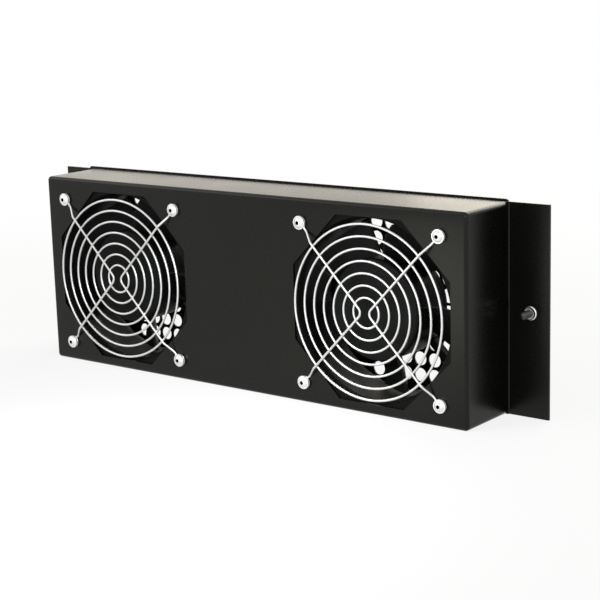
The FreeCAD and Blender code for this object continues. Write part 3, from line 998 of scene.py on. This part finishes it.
@dataclass
class MountingScrews:
    """The captive threaded screws in the ears.

    Attributes:
        spacing: Distance between the screws in millimetres.
        outer_r: The thread's outer radius.
        root_r: The thread's root radius.
        pitch: The thread's pitch.
        thread_back: Depth at which the thread ends at the neck.
        thread_front: Depth of the screw's tip.
        chamfer: Length of the tip's taper.
        tip_share: Radius of the tip's end as a share of the root's.
        tooth_height: Height of a tooth's flanks where they would meet, in thread depths.
        tooth_slope: Fall of a flank along one pitch, in thread depths.
        turn_steps: Corners round the thread.
        pitch_rows: Rows of corners along one pitch.
        thread_sharp: Edges of the thread sharper than this many degrees stay sharp.
        neck_play: Depth behind the thread that is cut away with the plain shank.
        rim_limit: Faces that face less than this along Y lie on a rim.
        front_limit: Faces that face less than this along Y lie in front.
    """

    spacing: float = 388.0
    outer_r: float = 2.5
    root_r: float = 2.08
    pitch: float = 0.8
    thread_back: float = 46.1
    thread_front: float = 37.5
    chamfer: float = 0.7
    tip_share: float = 0.86
    tooth_height: float = 1.6
    tooth_slope: float = 4.2
    turn_steps: int = 40
    pitch_rows: int = 8
    thread_sharp: float = 50.0
    neck_play: float = 0.05
    rim_limit: float = 0.5
    front_limit: float = -0.95

    def dress(self, frame: Frame) -> None:
        """Replaces the plain shanks by threaded ones and keeps the heads.

        Args:
            frame: The loaded frame.
        """
        heads = cad_copy(frame, "mounting_screws", "mounting_screw_heads", 0.0)
        work = bmesh.new()
        work.from_mesh(heads.data)
        limit = PANEL.point(0, self.thread_back + self.neck_play, 0).y
        front = [v for v in work.verts if v.co.y < limit]
        bmesh.ops.delete(work, geom=front, context="VERTS")
        work.to_mesh(heads.data)
        work.free()
        smooth(heads.data, SCREW_ANGLE)
        finish_object(heads, ZINC_STEEL, "unit", ["mounting_screws"])
        verts, faces = gathered(self.thread(sign) for sign in (-1, 1))
        threads = mesh_object("mounting_screw_threads", verts, faces, self.thread_sharp)
        # The threads take the far darker steel: painted shade and painted dark reflection.
        finish_object(threads, PAINTED_SHADE_STEEL, "unit")
        # The keeper rings' rims get painted shade, and the washers' flat fronts get a painted dark
        # reflection.
        self.dress_rings(frame, "keeper_rings", "keeper_ring_set", self.on_rim)
        self.dress_rings(frame, "mounting_washers", "mounting_washer_set", self.in_front)

    def on_rim(self, facing: float) -> bool:
        """Tells whether a face lies on a ring's rim or in its bore.

        Args:
            facing: The Y part of the face's direction.

        Returns:
            True for such a face.
        """
        return abs(facing) < self.rim_limit

    def in_front(self, facing: float) -> bool:
        """Tells whether a face is a ring's flat front.

        Args:
            facing: The Y part of the face's direction.

        Returns:
            True for such a face.
        """
        return facing < self.front_limit

    def dress_rings(self, frame: Frame, node: str, name: str, dark: Callable[[float], bool]) -> None:
        """Replaces rings round the screws by smooth ones with some faces painted dark as shade and dark
        reflection.

        Args:
            frame: The loaded frame.
            node: The CAD node.
            name: Name of the new piece.
            dark: Tells by the Y part of a face's direction whether it takes the painted shade.
        """
        rings = cad_copy(frame, node, name, 0.0)
        smooth(rings.data, SCREW_ANGLE)
        finish_object(rings, ZINC_STEEL, "unit", [node])
        # Faces picked by their direction take the far darker steel: painted shade.
        rings.data.materials.append(PAINTED_SHADE_STEEL.material())
        for face in rings.data.polygons:
            if dark(face.normal.y):
                face.material_index = 1

    def thread(self, sign: int) -> MeshData:
        """Makes one threaded shank.

        Args:
            sign: Side of the unit.

        Returns:
            The mesh's corners and faces.
        """
        rise = self.pitch / self.pitch_rows
        length = self.thread_back - self.thread_front
        rows = int(length / rise) + 1
        tip_r = self.root_r * self.tip_share
        verts: Points = []
        for i in range(rows):
            depth = min(i * rise, length)
            taper_r = tip_r + (self.outer_r - tip_r) * depth / self.chamfer
            for k, (cos, sin) in enumerate(around(self.turn_steps)):
                phase = (depth / self.pitch - k / self.turn_steps) % 1.0
                flank = self.tooth_height - abs(phase - 0.5) * self.tooth_slope
                tooth = max(0.0, min(1.0, flank))
                radius = min(self.root_r + (self.outer_r - self.root_r) * tooth, taper_r)
                x = sign * self.spacing / 2 + radius * cos
                z = PANEL.fan_z + radius * sin
                verts.append(PANEL.point(x, self.thread_front + depth, z))
        return verts, tube_faces(rows, self.turn_steps)


@dataclass
class PlainParts:
    """The pieces that keep their CAD shape and take only a finish.

    Attributes:
        finishes: The finishes, one for each of the record's slots.
    """

    finishes: tuple[Finish, ...] = FINISHES

    def dress(self, frame: Frame) -> None:
        """Finishes every CAD node that no new piece stands for.

        Args:
            frame: The loaded frame.
        """
        slots = {part["node"]: part["material_slot"] for part in frame["record"]["subparts"]}
        by_slot = {finish.slot: finish for finish in self.finishes}
        for node, obj in frame["nodes"].items():
            if obj.hide_render:
                continue
            finish = by_slot[slots[node]]
            obj.data.materials.clear()
            obj.data.materials.append(finish.material())
            LOG.info("%s keeps its shape in %s", node, finish.slot)


# Studio


def background_rays(tree: bpy.types.NodeTree) -> bpy.types.NodeSocket:
    """Tells which rays show the plain background.

    Args:
        tree: The node tree to add to.

    Returns:
        1 for a ray that is seen, mirrored or let through, else 0.
    """
    rays = tree.nodes.new("ShaderNodeLightPath")
    seen = math_node(tree, "MAXIMUM", rays.outputs["Is Camera Ray"], rays.outputs["Is Glossy Ray"])
    return math_node(tree, "MAXIMUM", seen, rays.outputs["Is Transmission Ray"])


@dataclass(frozen=True)
class Softbox:
    """One soft lamp.

    Attributes:
        name: Name of the lamp.
        place: Its place in metres.
        target: The point that it faces.
        size: Width and height in metres.
        power: Power in watts.
        color: Its colour.
    """

    name: str
    place: Triple
    target: Triple
    size: tuple[float, float]
    power: float
    color: Triple = (1.0, 1.0, 1.0)

    def build(self) -> None:
        """Adds the lamp to the scene."""
        data = bpy.data.lights.new(self.name, "AREA")
        data.shape = "RECTANGLE"
        data.size, data.size_y = self.size
        data.energy = self.power
        data.color = self.color
        lamp = linked(self.name, data)
        lamp.location = self.place
        facing = Vector(self.target) - Vector(self.place)
        lamp.rotation_euler = facing.to_track_quat("-Z", "Y").to_euler()
        lamp.visible_camera = False


@dataclass(frozen=True)
class Camera:
    """The photograph's camera.

    Attributes:
        place: Its place in metres.
        yaw: Turn to the left of +Y in degrees.
        pitch: Look downwards in degrees.
        roll: Turn about the line of sight in degrees.
        lens: Focal length in millimetres.
        sensor: Width of the sensor in millimetres.
        near: Distance in metres from which things are seen.
    """

    place: Triple = (0.662337, -0.7950345, 0.2800213)
    yaw: float = 38.3399
    pitch: float = 12.1577
    roll: float = -1.6588
    lens: float = 93.719
    sensor: float = 36.0
    near: float = 0.01

    def build(self) -> None:
        """Adds the camera and makes it the scene's own."""
        yaw, pitch, roll = (math.radians(angle) for angle in (self.yaw, self.pitch, self.roll))
        level = Vector((math.cos(yaw), math.sin(yaw), 0.0))
        inward = Vector((-math.sin(yaw), math.cos(yaw), 0.0))
        ahead = inward * math.cos(pitch) - Vector((0.0, 0.0, math.sin(pitch)))
        above = level.cross(ahead)
        right = level * math.cos(roll) + above * math.sin(roll)
        up = above * math.cos(roll) - level * math.sin(roll)
        data = bpy.data.cameras.new("photo_camera")
        data.sensor_width = self.sensor
        data.lens = self.lens
        data.clip_start = self.near
        eye = linked("photo_camera", data)
        turn = Matrix((right, up, -ahead)).transposed().to_4x4()
        eye.matrix_world = Matrix.Translation(self.place) @ turn
        bpy.context.scene.camera = eye


@dataclass
class Studio:
    """The floor, the white surround and the lamps.

    Attributes:
        floor_size: Side of the floor in metres.
        floor_tone: Grey level of the floor.
        floor_rough: Roughness of the floor.
        floor_glow: Share of plain white that the eye sees on the floor near the object.
        fade: Distances from the middle between which the floor turns plain white.
        surround: Strength of the surround's light on the object.
        lamps: The soft lamps.
    """

    floor_size: float = 3.2
    floor_tone: float = 0.92
    floor_rough: float = 0.9
    floor_glow: float = 0.85
    fade: tuple[float, float] = (0.35, 0.95)
    surround: float = 0.28
    lamps: tuple[Softbox, ...] = (
        Softbox("key", (1.05, -1.5, 0.75), (0.0, 0.0, 0.06), (1.7, 1.2), 10.0),
        Softbox("fill", (-1.5, -1.2, 1.1), (0.0, 0.0, 0.06), (1.4, 1.2), 7.0),
        Softbox("top_card", (-0.8, 1.3, 0.4), (-0.02, 0.0, 0.13), (1.4, 0.6), 1.75, (1.0, 0.84, 0.6)),
        Softbox("top_glint", (-0.54, 1.3, 0.37), (0.14, 0.0, 0.13), (0.34, 0.5), 0.7, (1.0, 0.86, 0.68)),
        Softbox("rim", (0.05, 1.3, 1.05), (0.17, 0.0, 0.13), (1.6, 0.6), 16.0, (1.0, 0.97, 0.9)),
        Softbox("floor_card", (0.06, -0.29, 0.13), (0.06, -0.29, 0.0), (0.12, 0.38), 1.1),
        Softbox("front_card", (0.03, -0.24, 0.02), (0.165, -0.024, 0.08), (0.1, 0.12), 0.05),
    )

    def build(self) -> None:
        """Adds everything that isn't the object."""
        scene = bpy.context.scene
        scene.view_settings.view_transform = "Standard"
        self.world(scene)
        self.floor()
        for lamp in self.lamps:
            lamp.build()
        Camera().build()

    def world(self, scene: bpy.types.Scene) -> None:
        """Makes the surround white to the eye and in mirror images.

        Args:
            scene: The scene.
        """
        world = bpy.data.worlds.new("surround")
        scene.world = world
        world.use_nodes = True
        tree = world.node_tree
        tree.nodes.clear()
        mix = tree.nodes.new("ShaderNodeMixShader")
        tree.links.new(background_rays(tree), mix.inputs[0])
        for socket, strength in zip(mix.inputs[1:], (self.surround, 1.0)):
            light = tree.nodes.new("ShaderNodeBackground")
            light.inputs["Color"].default_value = WHITE
            light.inputs["Strength"].default_value = strength
            tree.links.new(light.outputs[0], socket)
        out = tree.nodes.new("ShaderNodeOutputWorld")
        tree.links.new(mix.outputs[0], out.inputs["Surface"])

    def floor(self) -> None:
        """Lays the pale floor, which keeps a faint shadow."""
        half = self.floor_size / 2
        signs = ((-1, -1), (1, -1), (1, 1), (-1, 1))
        outline = [Vector((half * sx, half * sy, 0.0)) for sx, sy in signs]
        floor = mesh_object("floor", outline, [range(len(outline))])
        made = bpy.data.materials.new("floor_white")
        made.use_nodes = True
        tree = made.node_tree
        shader = tree.nodes["Principled BSDF"]
        shader.inputs["Base Color"].default_value = (self.floor_tone, self.floor_tone, self.floor_tone, 1.0)
        shader.inputs["Roughness"].default_value = self.floor_rough
        shader.inputs["Specular IOR Level"].default_value = 0.0
        glow = tree.nodes.new("ShaderNodeEmission")
        glow.inputs["Strength"].default_value = 1.0
        place = tree.nodes.new("ShaderNodeTexCoord")
        reach = tree.nodes.new("ShaderNodeVectorMath")
        reach.operation = "LENGTH"
        tree.links.new(place.outputs["Object"], reach.inputs[0])
        far = tree.nodes.new("ShaderNodeMapRange")
        far.interpolation_type = "SMOOTHSTEP"
        far.inputs["From Min"].default_value = self.fade[0]
        far.inputs["From Max"].default_value = self.fade[1]
        far.inputs["To Min"].default_value = self.floor_glow
        tree.links.new(reach.outputs["Value"], far.inputs["Value"])
        share = math_node(tree, "MULTIPLY", background_rays(tree), far.outputs[0])
        mix = tree.nodes.new("ShaderNodeMixShader")
        tree.links.new(share, mix.inputs[0])
        tree.links.new(shader.outputs[0], mix.inputs[1])
        tree.links.new(glow.outputs[0], mix.inputs[2])
        tree.links.new(mix.outputs[0], tree.nodes["Material Output"].inputs["Surface"])
        floor.data.materials.append(made)
        floor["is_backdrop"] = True


def corners(bounds: tuple[Vector, Vector]) -> list[list[float]]:
    """Turns a box's corners into plain lists.

    Args:
        bounds: The lowest and the highest corner.

    Returns:
        Both corners.
    """
    return [[float(value) for value in corner] for corner in bounds]


def main() -> None:
    """Loads the frame, dresses every piece and sets up the studio."""
    logging.basicConfig(level=logging.INFO, format="%(message)s")
    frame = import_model()
    cad_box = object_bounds()
    Sheetwork().dress(frame)
    for side in Side:
        Guard(side).build()
        Fan(side).dress(frame)
    GuardScrews().dress(frame)
    MountingScrews().dress(frame)
    PlainParts().dress(frame)
    Studio().build()
    {"cad": corners(cad_box), "visual": corners(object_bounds())}


if __name__ == "__main__":
    main()
